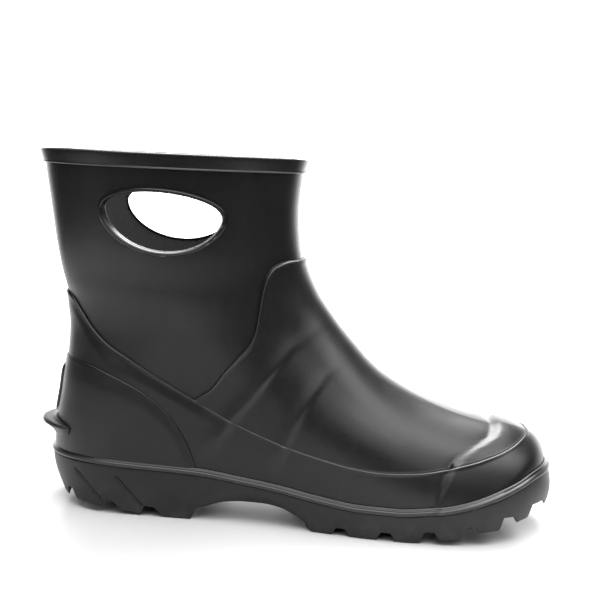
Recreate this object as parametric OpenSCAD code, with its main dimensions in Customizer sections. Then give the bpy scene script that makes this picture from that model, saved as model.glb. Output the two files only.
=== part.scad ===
// Rubber rain boot, right foot, laid up from sheets of rubber over a knitted sock.
// Millimetres. +X is the toe, +Z is up, -Y is the outer side of the foot.
// The origin is on the ground under the middle of the boot.

/* [Upper] */
// Thickness of the inner rubber sheet
upper_wall = 1.6; // [1.2:0.1:1.8]
// Thickness of the vamp sheet
vamp_wall = 1.2; // [0.8:0.1:1.4]
// Thickness of the galosh sheet
galosh_wall = 1.7; // [1.2:0.1:1.9]
// Thickness of the heel counter sheet
counter_wall = 1.1; // [0.8:0.1:1.2]
// Thickness of the knitted lining
lining_wall = 0.8; // [0.5:0.1:0.9]
// Height of the rim binding
band_height = 7; // [5:0.5:10]

/* [Hand openings] */
// Half the length of each opening
grip_half_length = 32.3; // [26:0.5:34]
// Height of the opening above its corners
grip_rise = 11.3; // [8:0.5:13]
// Depth of the opening below its corners
grip_drop = 20.3; // [14:0.5:22]

/* [Sole] */
// How far the sole stands out from the upper
sole_margin = 4.8; // [4.4:0.1:6]
// Width of the grooves at their top
groove_width = 5.2; // [4:0.2:6]
// Reach of the kick-off ledge behind the heel
spur_reach = 8; // [5:0.5:9]

/* [Hidden] */

gap = 0.35;          // clearance between neighbouring sheets
sides = 24;          // columns of points from the toe to the heel on one side
rib_lift = 1.3;      // height of the two flex ribs
cap_lift = 1.4;      // rise of the outer sheets over the toe cap

// Offsets of each sheet from the outside of the inner rubber sheet, outwards positive.
vamp_in = gap;
vamp_out = vamp_in + vamp_wall;
galosh_in = gap;
galosh_out = galosh_in + galosh_wall;
counter_in = galosh_out + gap;
counter_out = counter_in + counter_wall;
lining_out = -upper_wall - gap;
lining_in = lining_out - lining_wall;
footbed_edge = lining_in - 1.2;

// Stations from the sole to the rim: rear point and front point of each level, x and z.
REAR = [[-131, 22.5], [-131.8, 35], [-131, 48.5], [-129.4, 62], [-128.4, 75.5], [-127.8, 89],
  [-128, 102], [-130.4, 114], [-134.4, 126], [-138, 139], [-140.9, 153], [-143.6, 168],
  [-146.3, 182], [-148.6, 196.4]];
FRONT = [[143.5, 24.2], [143.9, 35], [139.9, 47.4], [126.2, 55.1], [107, 58.8], [86, 63.9],
  [66, 71.3], [48, 81.6], [33, 95.2], [20, 109.6], [8.6, 125], [0.2, 144], [-3.6, 170],
  [-2.2, 199.6]];
STEPS = len(REAR) - 1;

// Half-width of the foot on the outer and inner side, along x.
FOOT_OUTER = [[-150, 33], [-100, 36], [-50, 36.2], [-20, 38], [0, 40.4], [20, 43.9], [45, 48.6], [65, 50.6],
  [85, 51], [120, 47], [150, 42]];
FOOT_INNER = [[-150, 33], [-100, 35], [-50, 33.2], [-20, 34.4], [0, 36.4], [20, 39.8], [45, 44.8], [65, 47.6],
  [85, 48.5], [120, 46], [150, 42]];
// Half-width of the leg, up z.
LEG = [[0, 38], [60, 38], [100, 40], [125, 43], [150, 47.8], [170, 50], [205, 51.6], [240, 51.6]];
// How far the rounding at the front and at the rear reaches in, up z.
ROUND_FRONT = [[0, 46], [50, 48], [75, 55], [110, 72], [145, 84], [230, 88]];
ROUND_REAR = [[0, 41], [60, 43], [100, 62], [145, 84], [230, 88]];

// Heights along x: bottom edge of the upper, tread, top of the welt, top of galosh and counter.
FEATHER = [[-140, 22.5], [-131, 22.5], [-110, 24], [-87, 23.4], [-50, 21.8], [-26, 19.4], [-3, 15.7],
  [18, 11.8], [42, 10.1], [60, 10.5], [77, 12.4], [95, 15.6], [113, 19.4], [126, 22], [138, 23.8],
  [143.5, 24.2], [152, 24.6]];
TREAD = [[-142, 9], [-131, 7], [-122, 4.8], [-111.3, 4], [-101.7, 2.6], [-89.1, 2.2], [-78.6, 0.8],
  [-64.8, 0], [-51.6, 0], [-50.6, 4.4], [-43.8, 7.2], [-35.6, 9.8], [-24, 11.3], [-12, 11.4], [-3, 10.3],
  [4.5, 7.5], [10.2, 4.5], [13.2, 0.8], [16, 0], [62, 0], [75.5, 1.3], [85.7, 2.8], [97.6, 4.2],
  [106.8, 7], [118.2, 8.3], [126.3, 10.8], [137.5, 13.2], [143, 14.4], [151, 15.2]];
WELT = [[-140, 29], [-131, 29.6], [-110, 30.4], [-87, 29.6], [-50, 28.2], [-26, 25.6], [-3, 22.8],
  [18, 19.6], [42, 17.4], [60, 17.4], [77, 18.9], [92.5, 21.8], [104, 25], [113.4, 28.4], [124, 33],
  [133.4, 36.6], [143.5, 37.8], [152, 38]];
GALOSH = [[-140, 119], [-131, 118.6], [-126.7, 117], [-119.8, 109.7], [-112, 101], [-102.7, 93.6],
  [-89.6, 86.4], [-78, 79.8], [-67, 73.8], [-56, 68], [-44.5, 62.2], [-33, 57], [-22, 52.4],
  [-10.6, 48.4], [0.6, 45], [11.7, 42.3], [22.8, 40.1], [34.3, 38.2], [52, 36.9], [70, 37.4],
  [86.5, 39.6], [98.7, 41.6], [107.2, 43.4], [115.9, 45.6], [123.1, 48.2], [128.4, 50.4],
  [134.6, 52.6], [150, 53.6]];
COUNTER = [[-140, 81.5], [-131, 81.5], [-112.7, 80.6], [-100.4, 77.2], [-89, 72.6], [-80, 67.8],
  [-72, 62], [-65, 55.2], [-59.2, 47.7], [-54.3, 39.1], [-51, 31.4], [-48, 20]];
// Heights along x of the vamp's rear edge and of the toe cap's edge.
VAMP_EDGE = [[-60, 60], [-53.8, 66.7], [-45, 73.3], [-38.2, 83.3], [-31.3, 92], [-25, 100.3],
  [-22.9, 107], [-22, 116], [-20.8, 128.6], [-19.2, 136], [-15, 141.8], [-7, 144.6], [10, 145]];
CAP_EDGE = [[80, 10], [82.2, 19.7], [84.6, 29.2], [88, 38], [92.2, 43.1], [102.8, 48.6],
  [111.8, 52.4], [116, 57.4], [119.5, 62], [124, 70]];
RIM = [[-160, 196.15], [10, 199.87]];
// Heights along x of the floor of the hollow in the sole.
HOLLOW = [[-200, 10.2], [-116, 10.2], [-100, 8.4], [-85, 7.3], [-52, 7.3], [-44, 16], [-30, 16],
  [0, 11.6], [14, 7.4], [42, 6.6], [60, 7], [77, 9], [95, 12.1], [113, 15.9], [124, 18.2], [134, 21]];
// The two flex ribs across the ankle bend, x and z.
RIBS = [[[19, 114], [7.2, 104.9], [-3.1, 97.2], [-12, 85.2], [-22.9, 68.8], [-32.1, 56.8],
    [-38.1, 46.1], [-42.5, 36.7]],
  [[34, 98], [24.8, 90.2], [16.8, 82.8], [11.4, 74.8], [6.1, 65.2], [3, 57.6], [0.4, 51.2],
    [-2.1, 43.6], [-5.5, 31]]];
rib_reach = 6;       // half the width of a rib

// Middle of each hand opening.
grip_x = -75.4;
grip_z = 167.2;
grip_tilt = -0.033;

// Grooves from the edge of the tread: place along x and height of the top, reach of the rear slope
// and of the front slope.
FORE_GROOVES = [[30.9, 4, 2.2, 3], [56, 4.5, 2.9, 3.4], [79.8, 6.5, 2, 3.3], [102.2, 10.4, 2.4, 2],
  [121.3, 14.9, 1.2, 2.6], [135.8, 19.2, 1.4, 1.8]];
HEEL_GROOVES = [[-120.6, 9, 1, 5], [-97.4, 6.8, 1.6, 5.9], [-74, 5.2, 1.6, 6.1]];
CENTRE_GROOVES = [-112, -86, 44, 68, 91, 111, 130];
centre_rib = 13;     // half the width of the centre row of lugs

// ---------- curves ----------

function catmull(a, b, c, d, t) =
  0.5 * (2 * b + (c - a) * t + (2 * a - 5 * b + 4 * c - d) * t * t + (3 * b - a - 3 * c + d) * t * t * t);

// Smooth curve through the points P, u from 0 to its last index.
function spline(P, u) =
  let (n = len(P) - 1, i = max(0, min(n - 1, floor(u))),
    before = i > 0 ? P[i - 1] : 2 * P[0] - P[1],
    after = i < n - 1 ? P[i + 2] : 2 * P[n] - P[n - 1])
  catmull(before, P[i], P[i + 1], after, u - i);

function ease(t) = let (c = max(0, min(1, t))) c * c * (3 - 2 * c);

function mix(a, b, t) = a + (b - a) * t;

// The front profile as short straight pieces, carried on below the sole and above the rim.
PROFILE = concat([[143.9, -20]], [for (u = [0:0.25:STEPS]) spline(FRONT, u)], [[-1, 240]]);
REAR_X = concat([[-20, -129.8]], [for (u = [0:0.25:STEPS]) let (p = spline(REAR, u)) [p[1], p[0]]],
  [[240, -154]]);

function to_piece(p, a, b) =
  let (d = b - a, t = max(0, min(1, ((p - a) * d) / (d * d)))) p - a - d * t;

// Distance in from the front profile, negative outside it.
function front_depth(p) =
  let (all = [for (i = [0:len(PROFILE) - 2]) norm(to_piece(p, PROFILE[i], PROFILE[i + 1]))],
    least = min(all),
    k = [for (i = [0:len(all) - 1]) if (all[i] == least) i][0],
    d = PROFILE[k + 1] - PROFILE[k], w = p - PROFILE[k])
  sign(d[0] * w[1] - d[1] * w[0]) * least;

function half_width(x, z, side) =
  mix(lookup(x, side < 0 ? FOOT_OUTER : FOOT_INNER), lookup(z, LEG), ease((z - 45) / 80));

// Share of the full width squared, at the share t of the rounding's reach.
function rounding(t) = t < 1 ? 1 - pow(1 - t, 2.4) : 1;

// Square of the half-width of the boot at x, z.
function width2(x, z, side) =
  let (f = rounding(front_depth([x, z]) / lookup(z, ROUND_FRONT)),
    r = rounding((x - lookup(z, REAR_X)) / lookup(z, ROUND_REAR)),
    b = half_width(x, z, side))
  b * b * (f < 0 && r < 0 ? -f * r : f * r);

// The middle line swings to the inner side at the toes.
function middle(x) = let (t = max(0, x - 40) / 105) 8 * t * t;

// ---------- the outside of the inner rubber sheet ----------

slope_step = 0.3;

// The point on the surface at x, z and its outward normal.
function skin(x, z, side) =
  let (h = slope_step, dy = side * sqrt(max(0, width2(x, z, side))),
    gx = (width2(x + h, z, side) - width2(x - h, z, side)) / (2 * h),
    gz = (width2(x, z + h, side) - width2(x, z - h, side)) / (2 * h),
    swing = (middle(x + h) - middle(x - h)) / (2 * h),
    n = [-2 * dy * swing - gx, 2 * dy, -gz])
  [[x, middle(x) + dy, z], n / norm(n)];

// x, z of level v (0 at the sole, 1 at the rim) at column angle a (0 at the toe, 180 at the heel).
function place(v, a) =
  let (p = (1 + cos(a)) / 2, r = spline(REAR, v * STEPS), f = spline(FRONT, v * STEPS),
    q = mix(r, f, p), sag = max(0, 1 - 2 * v))
  [q[0], q[1] + sag * sag * (lookup(q[0], FEATHER) - mix(REAR[0][1], FRONT[0][1], p))];

// The level at which column a meets the height line T.
function level(T, a, low = 0, high = 1, n = 13) =
  let (m = (low + high) / 2, q = place(m, a))
  n == 0 ? m : q[1] < lookup(q[0], T) ? level(T, a, m, high, n - 1) : level(T, a, low, m, n - 1);

function side_of(a) = sin(a) > 0 ? -1 : 1;

function ring_columns(n) = [for (j = [0:2 * n - 1]) 180 * j / n];
function arc_columns(n, from, to) = [for (j = [from:to]) 180 * j / n];

// Rise of the outer sheets over the toe cap.
function cap_rise(x, z) = cap_lift * ease((x - cap_front(z) + 2) / 5);
function cap_front(z) = lookup(z, [for (q = CAP_EDGE) [q[1], q[0]]]);

function rib_distance(p, R) = min([for (i = [0:len(R) - 2]) norm(to_piece(p, R[i], R[i + 1]))]);
function rib_rise(x, z) =
  rib_lift * max([for (R = RIBS) 1 - ease(rib_distance([x, z], R) / rib_reach)]);

// A sheet's points, row by row: [surface point, normal, rise over the cap, rise of the ribs].
function sheet(columns, low, high, rows) =
  [for (r = [0:len(rows) - 1]) [for (j = [0:len(columns) - 1])
    let (q = place(mix(low[j], high[j], rows[r]), columns[j]), s = skin(q[0], q[1], side_of(columns[j])))
    [s[0], s[1], cap_rise(q[0], q[1]), rib_rise(q[0], q[1])]]];

function lift(S, t, cap = 0, rib = 0) =
  [for (r = S) [for (c = r) c[0] + c[1] * (t + cap * c[2] + rib * c[3])]];

function even_rows(n) = [for (r = [0:n]) r / n];

// ---------- solids from grids of points ----------

// Triangles between the rows of a grid that starts at index k.
function grid_faces(R, C, k, wrap, flip) =
  [for (r = [0:R - 2]) for (j = [0:C - (wrap ? 1 : 2)])
    let (a = k + r * C + j, b = k + r * C + (j + 1) % C, c = b + C, d = a + C)
    each (flip ? [[a, b, c], [a, c, d]] : [[a, c, b], [a, d, c]])];

function strip_faces(a0, a1, b0, b1) = [[a0, b1, b0], [a0, a1, b1]];

// A sheet between an outer and an inner grid; wrap closes it into a ring.
module shell(outer, inner, wrap) {
  R = len(outer);
  C = len(outer[0]);
  N = R * C;
  points = [for (g = [outer, inner]) for (r = g) each r];
  rims = [for (j = [0:C - (wrap ? 1 : 2)]) let (m = (j + 1) % C)
    each concat(strip_faces(j, m, N + j, N + m),
      strip_faces((R - 1) * C + m, (R - 1) * C + j, N + (R - 1) * C + m, N + (R - 1) * C + j))];
  ends = wrap ? [] : [for (r = [0:R - 2])
    each concat(strip_faces((r + 1) * C, r * C, N + (r + 1) * C, N + r * C),
      strip_faces(r * C + C - 1, (r + 1) * C + C - 1, N + r * C + C - 1, N + (r + 1) * C + C - 1))];
  polyhedron(points, concat(grid_faces(R, C, 0, wrap, false), grid_faces(R, C, N, wrap, true), rims, ends));
}

// A bead: the same closed section at every column; wrap closes it into a ring.
module bead(sections, wrap) {
  S = len(sections);
  K = len(sections[0]);
  points = [for (s = sections) each s];
  sides_of_bead = [for (j = [0:S - (wrap ? 1 : 2)]) for (i = [0:K - 1])
    let (a = j * K + i, b = j * K + (i + 1) % K, m = (j + 1) % S, c = m * K + (i + 1) % K, d = m * K + i)
    each [[a, b, c], [a, c, d]]];
  caps = wrap ? [] : [[for (i = [0:K - 1]) K - 1 - i], [for (i = [0:K - 1]) (S - 1) * K + i]];
  polyhedron(points, concat(sides_of_bead, caps));
}

// ---------- sole outlines ----------

// Outline of the upper's bottom edge, pushed out by t; cap adds the toe cap's rise and slim
// draws the forefoot in.
function outline(t, cap = 1, slim = 0, n = sides) =
  [for (a = ring_columns(n)) let (q = place(0, a), s = skin(q[0], q[1], side_of(a)),
      flat = [s[1][0], s[1][1]], u = flat / norm(flat))
    [s[0][0], s[0][1]] + u * (t + cap * cap_rise(q[0] + rise_lead, q[1] + 4) - slim * ease((q[0] - 20) / 50))];

rise_lead = 2;       // how far before the toe cap the pieces round the galosh start to widen
sole_height = 60;    // taller than any solid of the sole
far = 90;            // wider than half the boot

// Extrudes the side view polygon P across the whole width.
module across(P) {
  rotate([90, 0, 0]) linear_extrude(2 * far, center = true) polygon(P);
}

// Side view polygon between height line A raised by a and height line B raised by b.
function between(A, a, B, b, x0 = -200, x1 = 200) =
  let (xa = concat([x0], [for (p = A) if (p[0] > x0 && p[0] < x1) p[0]], [x1]),
    xb = concat([x0], [for (p = B) if (p[0] > x0 && p[0] < x1) p[0]], [x1]))
  concat([for (x = xa) [x, lookup(x, A) + a]], [for (i = [len(xb) - 1:-1:0]) [xb[i], lookup(xb[i], B) + b]]);

// Puts the middle of the boot's bounding box over the origin.
module placed() {
  translate([0.38, -0.13, 0]) children();
}

// ---------- rubber sheets ----------

function levels(T, columns, shift = 0) =
  [for (a = columns) level([for (p = T) [p[0], p[1] + shift]], a)];
function same(v, columns) = [for (a = columns) v];
function at_least(low, high) = [for (j = [0:len(low) - 1]) max(low[j] + least_level, high[j])];

// Rows of the inner sheet: close together over the toes, wider apart up the leg.
UPPER_ROWS = concat([for (k = [0:11]) k / 3 / STEPS], [for (k = [0:17]) (4 + k / 2) / STEPS], [1]);

// Outline of a hand opening, pushed out by r: x, z and the outward direction.
function grip_point(f, r = 0) =
  let (q = grip_curve(f), b = grip_curve(f + 1), c = grip_curve(f - 1), t = b - c,
    n = [t[1], -t[0]] / norm(t))
  q + n * r;
function grip_curve(f) =
  let (dx = grip_half_length * cos(f), s = sin(f))
  [grip_x + dx, grip_z + grip_tilt * dx + (s > 0 ? grip_rise * s : -grip_drop * pow(-s, 1.15))];

grip_points = 40;
ring_wall = 1;       // width of the part of the bead that lines the cut

module grip_cut() {
  across([for (i = [0:grip_points - 1]) grip_point(360 * i / grip_points, ring_wall + gap)]);
}

module tube(outer, inner) {
  columns = ring_columns(sides);
  S = sheet(columns, same(0, columns), same(1, columns), UPPER_ROWS);
  difference() {
    shell(lift(S, outer), lift(S, inner), true);
    grip_cut();
  }
}

module upper() {
  placed() color([0.09, 0.09, 0.1]) tube(0, -upper_wall);
}

lining_start = 3;    // height of the lining's bottom edge above the upper's

module lining() {
  columns = ring_columns(sides);
  low = levels(FEATHER, columns, lining_start);
  S = sheet(columns, low, same(1, columns), UPPER_ROWS);
  placed() color([0.25, 0.25, 0.27]) difference() {
    shell(lift(S, lining_out), lift(S, lining_in), true);
    grip_cut();
  }
}

vamp_columns = 30;   // fine columns on each side that the vamp reaches
// Rows of the vamp: closer together towards the toe cap.
VAMP_ROWS = [for (k = [0:14]) pow(k / 14, 1.35)];

module vamp() {
  columns = arc_columns(2 * sides, -vamp_columns, vamp_columns);
  low = levels(GALOSH, columns, gap);
  S = sheet(columns, low, at_least(low, levels(VAMP_EDGE, columns)), VAMP_ROWS);
  placed() color([0.1, 0.1, 0.11]) shell(lift(S, vamp_out, 1, 1), lift(S, vamp_in, 1, 0), false);
}

module galosh() {
  columns = ring_columns(2 * sides);
  S = sheet(columns, same(0, columns), levels(GALOSH, columns), even_rows(8));
  placed() color([0.09, 0.09, 0.1]) shell(lift(S, galosh_out, 1, 1), lift(S, galosh_in, 1, 0), true);
}

counter_columns = 18; // fine columns on each side that the counter reaches
least_level = 0.012;  // least height of a sheet, as a share of the whole

module counter() {
  columns = arc_columns(2 * sides, 2 * sides - counter_columns, 2 * sides + counter_columns);
  low = levels(WELT, columns, 0.5);
  S = sheet(columns, low, at_least(low, levels(COUNTER, columns)), even_rows(8));
  placed() color([0.1, 0.1, 0.11]) shell(lift(S, counter_out), lift(S, counter_in), false);
}

cap_columns = 13;    // fine columns on each side that the toe cap reaches
cap_inset = 9;       // how far behind the rise of the outer sheets the toe cap's edge lies

module toe_cap() {
  columns = arc_columns(2 * sides, -cap_columns, cap_columns);
  low = levels(WELT, columns, 0.5);
  edge = [for (p = CAP_EDGE) [p[0] + cap_inset, p[1]]];
  S = sheet(columns, low, at_least(low, levels(edge, columns)), even_rows(9));
  placed() color([0.12, 0.12, 0.12]) shell(lift(S, cap_lift - 0.1), lift(S, gap + 0.2), false);
}

backstay_half = 7;   // half the width of the strip up the heel
BACKSTAY_ROWS = [for (z = [50:4:74]) z];

module backstay() {
  S = [for (z = BACKSTAY_ROWS) [for (y = [-1, -0.5, 0, 0.5, 1])
    rear_skin(y * backstay_half, z)]];
  placed() color([0.1, 0.1, 0.11]) shell([for (r = S) [for (c = r) c[0] + c[1] * (counter_out + gap + 0.9)]],
    [for (r = S) [for (c = r) c[0] + c[1] * (counter_out + gap)]], false);
}

// The surface at the back of the heel at width y and height z.
function rear_skin(y, z) =
  let (side = y < 0 ? -1 : 1, w = abs(y) / half_width(-130, z, side),
    t = 1 - sqrt(1 - w * w))
  skin(lookup(z, REAR_X) + t * lookup(z, ROUND_REAR), z, side);

// ---------- beads and bands ----------

// Section of the rim binding: offset from the surface and height above the rim.
BAND = [[gap, -band_height], [gap + 0.8, -band_height], [gap + 2.3, -0.4], [gap + 1.9, 1.1],
  [-1, 1.5], [lining_in - 1, 0.9], [lining_in - gap - 0.9, -0.4], [lining_in - gap - 0.8, -4.5],
  [lining_in - gap, -4.5], [lining_in - gap, gap], [gap, gap]];

module rim_band() {
  columns = ring_columns(sides);
  placed() color([0.1, 0.1, 0.11]) bead([for (a = columns) [for (b = BAND)
    let (v = b[1] < 0 ? level([for (p = RIM) [p[0], p[1] + b[1]]], a) : 1, q = place(v, a),
      s = skin(q[0], q[1], side_of(a)))
    s[0] + s[1] * b[0] + [0, 0, max(0, b[1])]]], true);
}

// Section of the bead round a hand opening: distance out from its edge and offset from the surface.
RING = [[0, lining_in - 0.5], [ring_wall, lining_in - 0.5], [ring_wall, gap], [2.2, gap],
  [2.3, gap + 0.5], [1.7, gap + 1.2], [0.6, gap + 1.2], [0, gap + 0.5]];

module grip_ring(side) {
  sections = [for (i = [0:grip_points - 1]) let (f = 360 * i / grip_points)
    [for (k = [0:len(RING) - 1]) let (b = RING[side < 0 ? k : len(RING) - 1 - k],
        q = grip_point(f, b[0]), s = skin(q[0], q[1], side))
      s[0] + s[1] * b[1]]];
  bead(sections, true);
}

module grip_ring_lateral() {
  placed() color([0.1, 0.1, 0.11]) grip_ring(-1);
}

module grip_ring_medial() {
  placed() color([0.1, 0.1, 0.11]) grip_ring(1);
}

WELT_SECTION = [[0, -2.8], [sole_margin + 0.1, -2.8], [sole_margin + 0.4, -2.1], [sole_margin + 0.4, -0.8],
  [sole_margin - 0.1, 0], [0, 0]];

module welt_strip() {
  columns = ring_columns(2 * sides);
  placed() color([0.1, 0.1, 0.11]) bead([for (a = columns) [for (b = WELT_SECTION)
    let (v = level([for (p = WELT) [p[0], p[1] + b[1]]], a), q = place(v, a),
      s = skin(q[0], q[1], side_of(a)), n = [s[1][0], s[1][1], 0], u = n / norm(n))
    s[0] + u * (max(b[0], galosh_out + gap + 0.1) + cap_rise(q[0] + rise_lead, q[1]))]], true);
}

spur_half = 25;      // half the width of the ledge
spur_steps = 16;
spur_droop = 0.6;    // how much lower the ledge's ends are than its middle
spur_middle = 43.4;  // height towards which the ledge thins at its ends
// Section of the ledge: share of its reach and height.
SPUR = [[0, 36.5], [0.28, 38.8], [0.65, 40.9], [0.93, 42.1], [1, 43.1], [0.94, 44.4], [0.7, 44.7],
  [0.3, 44.8], [0, 45.7]];

module heel_spur() {
  placed() color([0.1, 0.1, 0.11]) bead([for (i = [0:spur_steps]) let (k = 1 - 2 * i / spur_steps)
    [for (b = SPUR) let (reach = spur_reach * pow(max(0.06, 1 - k * k), 0.75),
        thin = 0.4 + 0.6 * sqrt(max(0, 1 - k * k)),
        z = spur_middle - spur_droop * k * k + (b[1] - spur_middle) * thin,
        s = rear_skin(k * spur_half, z), n = [s[1][0], s[1][1], 0], u = n / norm(n))
      s[0] + s[1] * (counter_out + gap) + u * reach * b[0]]], false);
}

// ---------- sole ----------

ledge = -5;          // edge of the hollow inside the upper's bottom edge
welt_drop = 3.1;     // how far the sole's top lies below the top of the welt
seat_drop = 0.8;     // how far the seat in the sole lies below the upper's bottom edge
toe_shift = 7;       // how much further forward the same height is on the sole's edge at the toe

groove_edge = 50;    // distance from the middle line at which a groove has its stated place
groove_below = 8;    // how far the groove cutters reach below the tread
centre_depth = 3.5;  // depth of the grooves across and along the centre row

// A groove G from the edge of the sole to the centre row.
module tread_groove(G, side, slant) {
  length = 2 * (groove_edge - centre_rib);
  w = groove_width / 2;
  rear = -w - G[2];
  front = w + G[3];
  rear_z = lookup(G[0] + rear, TREAD);
  front_z = lookup(G[0] + front, TREAD);
  translate([G[0], middle(G[0]) + side * groove_edge, 0]) rotate([0, 0, -side * slant]) rotate([90, 0, 0])
    linear_extrude(length, center = true)
      polygon([[rear, -groove_below], [rear, rear_z], [-w, G[1]], [w, G[1]], [front, front_z],
        [front, -groove_below]]);
}

// A short groove across the centre row.
module centre_groove(x) {
  w = groove_width / 2;
  translate([x, middle(x), lookup(x, TREAD)]) rotate([0, -tread_slope(x), 0]) rotate([90, 0, 0])
    linear_extrude(2 * centre_rib, center = true)
      polygon([[-w, -groove_below], [-w, 0], [1 - w, centre_depth], [w - 1, centre_depth], [w, 0],
        [w, -groove_below]]);
}

function tread_slope(x) = atan((lookup(x + 6, TREAD) - lookup(x - 6, TREAD)) / 12);

long_groove_width = 3.6;

// A groove along the foot at y, from x0 to x1.
module long_groove(y, x0, x1) {
  intersection() {
    translate([x0, y - long_groove_width / 2, -sole_height / 2])
      cube([x1 - x0, long_groove_width, sole_height]);
    across(between(TREAD, -20, TREAD, centre_depth, x0 - 1, x1 + 1));
  }
}

// Height line of the sole's top edge.
function sole_top() =
  [for (p = WELT) [p[0] + toe_shift * ease((p[0] - 92) / 50), p[1] - welt_drop]];

module outsole() {
  rear = outline(0)[sides][0] - sole_margin;
  front = outline(sole_margin)[0][0];
  rear_wall = [[rear - 1, 21], [rear + 0.6, 17], [rear + 2.6, 10.5], [rear + 5, 6.8]];
  side_view = concat(rear_wall, [for (p = TREAD) if (p[0] > rear + 6 && p[0] < front - 3) p],
    [[front - 1.5, lookup(front, TREAD)], [front + 0.5, lookup(front, TREAD) + 2.5]],
    [for (i = [len(WELT) - 1:-1:0]) let (p = sole_top()[i]) [max(rear - 1, min(front + 2, p[0])), p[1]]]);
  placed() color([0.08, 0.08, 0.09]) difference() {
    intersection() {
      linear_extrude(sole_height) polygon(outline(sole_margin));
      across(side_view);
    }
    intersection() {
      linear_extrude(sole_height) polygon(outline(galosh_out + 2 * gap, n = 2 * sides));
      across(between(FEATHER, -seat_drop, FEATHER, sole_height));
    }
    intersection() {
      linear_extrude(sole_height) polygon(outline(ledge, 0));
      across(concat(HOLLOW, [[134, sole_height], [-200, sole_height]]));
    }
    for (side = [-1, 1]) {
      for (x = FORE_GROOVES) tread_groove(x, side, 12);
      for (x = HEEL_GROOVES) tread_groove(x, side, -8);
    }
    for (x = CENTRE_GROOVES) centre_groove(x);
    for (side = [-1, 1]) {
      long_groove(side * centre_rib + 1, 12, 136);
      long_groove(side * centre_rib, -127, -50);
    }
  }
}

insert_gap = 0.3;    // clearance round the fillings
midsole_wall = 3;
midsole_front = 120;
shank_size = [112, 16, 1.3];
shank_rear = -97;
shank_depth = 2.9;   // underside of the shank below the upper's bottom edge

module midsole() {
  placed() color([0.5, 0.5, 0.48]) difference() {
    intersection() {
      linear_extrude(sole_height) polygon(outline(ledge - insert_gap, 0));
      across(between(FEATHER, -midsole_wall, FEATHER, -insert_gap, -200, midsole_front));
    }
    intersection() {
      translate([shank_rear - 1, -shank_size[1] / 2 - insert_gap, 0])
        cube([shank_size[0] + 2, shank_size[1] + 2 * insert_gap, sole_height]);
      across(between(FEATHER, -10, FEATHER, shank_size[2] - shank_depth + 0.2));
    }
  }
}

module shank() {
  placed() color([0.6, 0.6, 0.62]) intersection() {
    translate([shank_rear, -shank_size[1] / 2, 0]) cube([shank_size[0], shank_size[1], sole_height]);
    across(between(FEATHER, -shank_depth, FEATHER, shank_size[2] - shank_depth));
  }
}

core_floor = 12;     // bottom of the round hollows that lighten the heel core

module heel_core() {
  placed() color([0.35, 0.35, 0.35]) difference() {
    intersection() {
      linear_extrude(sole_height) polygon(outline(ledge - insert_gap, 0));
      across(concat([for (p = HOLLOW) if (p[0] <= -52) [p[0] - 0.4, p[1] + 0.4]], [[-46, 14.6]],
        [for (i = [len(FEATHER) - 1:-1:0]) if (FEATHER[i][0] < -45) FEATHER[i] - [0, 3.4]], [[-200, 19]]));
    }
    for (x = [-110, -92, -74]) for (y = [-13, 13])
      translate([x, y, core_floor]) cylinder(h = sole_height, r = 6, $fn = 48);
  }
}

module insole_board() {
  placed() color([0.55, 0.42, 0.28]) intersection() {
    linear_extrude(sole_height) polygon(outline(-upper_wall - gap, 0));
    across(between(FEATHER, 0.2, FEATHER, 2.4));
  }
}

footbed_low = 3.1;   // underside of the footbed above the upper's bottom edge
footbed_high = 7.6;
footbed_slim = 2.6;  // how much the footbed is drawn in at the forefoot, to lift out freely

module footbed() {
  placed() color([0.32, 0.33, 0.36]) intersection() {
    linear_extrude(sole_height) polygon(outline(footbed_edge, 0, footbed_slim));
    across(between(FEATHER, footbed_low, FEATHER, footbed_high));
  }
}

upper();
vamp();
galosh();
counter();
backstay();
toe_cap();
rim_band();
grip_ring_lateral();
grip_ring_medial();
heel_spur();
welt_strip();
outsole();
lining();
midsole();
heel_core();
shank();
insole_board();
footbed();
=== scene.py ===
"""Looks of a rubber rain boot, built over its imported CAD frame.

Shapes are worked out in millimetres and turned into metres when a mesh is made.
+X is the toe, +Z is up and -Y is the outer side of the foot. The sheets of rubber are
laid over one smooth surface, the outside of the inner rubber sheet, at set offsets.
"""

import math

import bmesh
import bpy
import numpy as np
from mathutils import Matrix, Vector


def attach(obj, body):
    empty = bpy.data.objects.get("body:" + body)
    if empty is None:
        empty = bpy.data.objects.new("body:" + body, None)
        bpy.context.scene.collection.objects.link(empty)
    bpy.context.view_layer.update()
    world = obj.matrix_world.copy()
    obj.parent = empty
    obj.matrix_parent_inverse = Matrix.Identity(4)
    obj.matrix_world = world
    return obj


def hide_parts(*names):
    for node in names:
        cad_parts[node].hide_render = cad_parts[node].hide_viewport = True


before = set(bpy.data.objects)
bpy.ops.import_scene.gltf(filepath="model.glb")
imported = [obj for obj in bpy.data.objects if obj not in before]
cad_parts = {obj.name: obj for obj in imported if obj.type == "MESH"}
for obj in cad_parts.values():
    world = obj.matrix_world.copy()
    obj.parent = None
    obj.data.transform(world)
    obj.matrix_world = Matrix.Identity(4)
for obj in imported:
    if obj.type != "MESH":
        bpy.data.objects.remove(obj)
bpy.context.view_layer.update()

MM = 0.001
PLACE = np.array([0.38, -0.13, 0.0])  # puts the middle of the boot over the origin

# ---------- shape of the boot ----------

GAP = 0.35  # clearance between neighbouring sheets
UPPER_WALL = 1.6

# Offsets of faces from the smooth surface, positive outwards.
VAMP_OUT = 1.75
GALOSH_OUT = 2.05
COUNTER_IN = 2.4
COUNTER_OUT = 3.5
LINING_OUT = -1.95
LINING_IN = -2.75
FOOTBED_EDGE = -4.9
BOARD_EDGE = -UPPER_WALL - GAP
HOLLOW_EDGE = -5.0  # side of the hollow in the sole
SOLE_MARGIN = 4.8

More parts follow.
